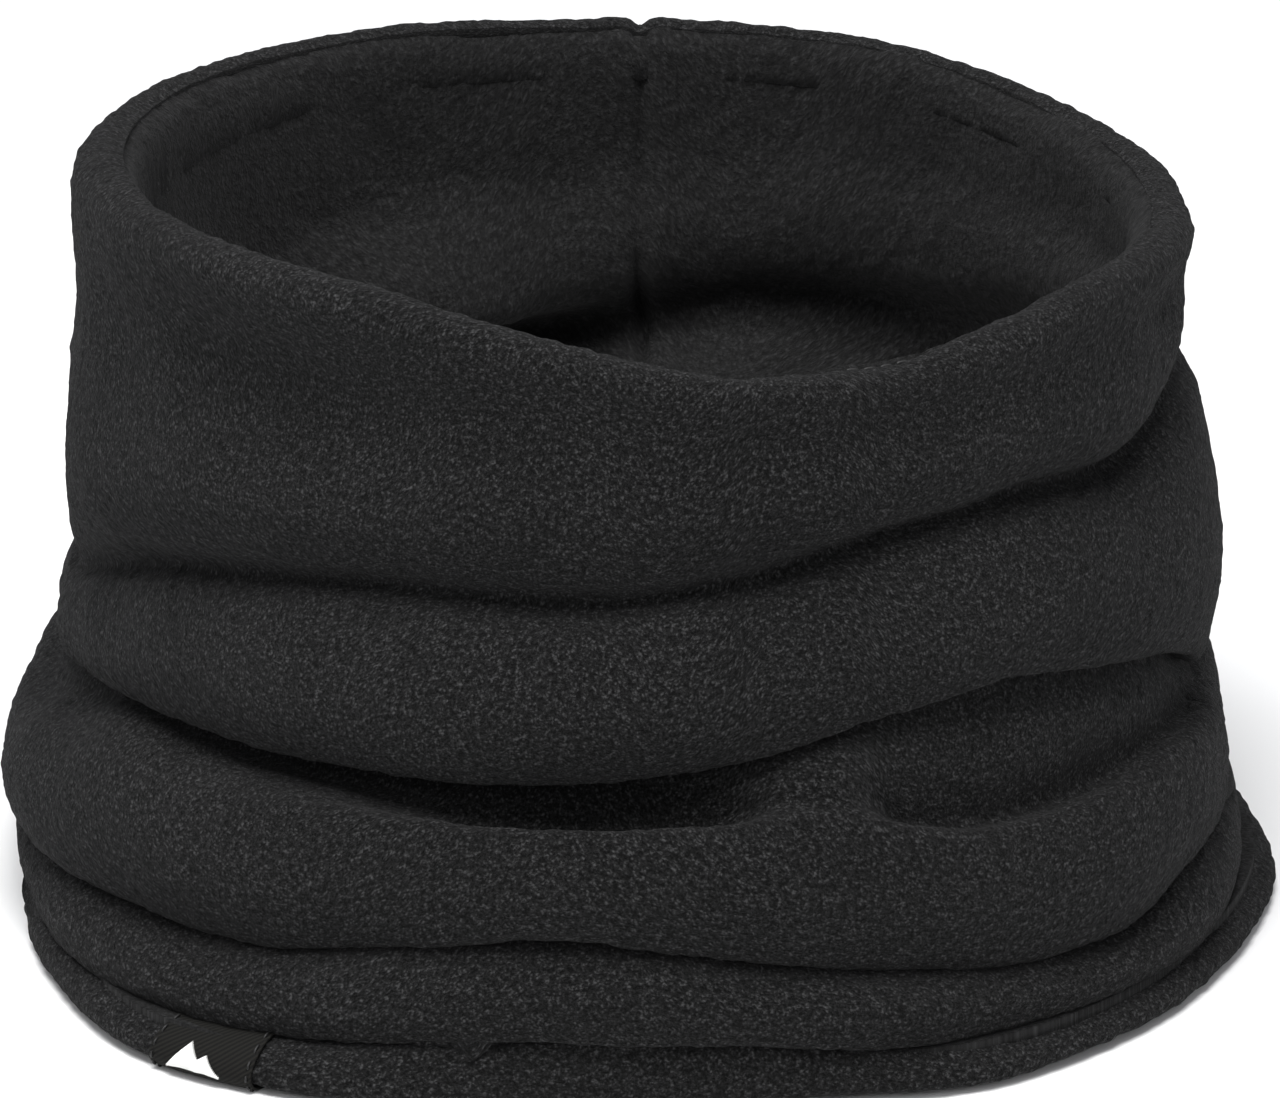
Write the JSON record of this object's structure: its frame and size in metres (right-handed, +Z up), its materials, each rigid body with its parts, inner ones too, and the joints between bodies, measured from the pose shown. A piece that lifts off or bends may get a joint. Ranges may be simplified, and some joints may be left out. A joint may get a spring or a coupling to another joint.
{
  "type": "neck gaiter",
  "caption": "Double-layer fleece neck tube, standing slouched in soft horizontal rolls, with a rounded rim, a turned hem and a small woven label at the front left.",
  "frame": {"origin": "on the floor, under the centre of the tube", "axes": "+Z up through the tube; -Y is the wearer's front; the back seam is at +Y; the woven label is at the front, towards -X"},
  "size_m": [0.201, 0.201, 0.1215],
  "materials": {
    "outer_fleece": "fine-grained brushed polyester fleece, charcoal black",
    "lining_fleece": "loftier brushed polyester fleece, charcoal black",
    "sewing_thread": "black polyester sewing thread",
    "label_twill": "woven twill ribbon, nearly black with an olive cast",
    "motif_thread": "white satin-stitched thread",
    "care_satin": "off-white satin ribbon, blank"
  },
  "bodies": {
    "base": {"base_outer_fleece": "outer_fleece", "base_lining_fleece": "lining_fleece", "base_outer_back_seam": "sewing_thread", "base_lining_back_seam": "sewing_thread", "hem_seam_thread": "sewing_thread", "woven_label": "label_twill", "label_motif": "motif_thread", "label_stitches": "sewing_thread", "care_label": "care_satin", "care_label_stitches": "sewing_thread"},
    "collar": {"collar_outer_fleece": "outer_fleece", "collar_lining_fleece": "lining_fleece", "collar_outer_back_seam": "sewing_thread", "collar_lining_back_seam": "sewing_thread", "rim_seam_thread": "sewing_thread"}
  },
  "joints": [
    {"name": "collar_pull_up", "type": "slide", "parent": "base", "child": "collar", "axis": [0, 0, 1], "range_m": [0, 0.07]}
  ]
}
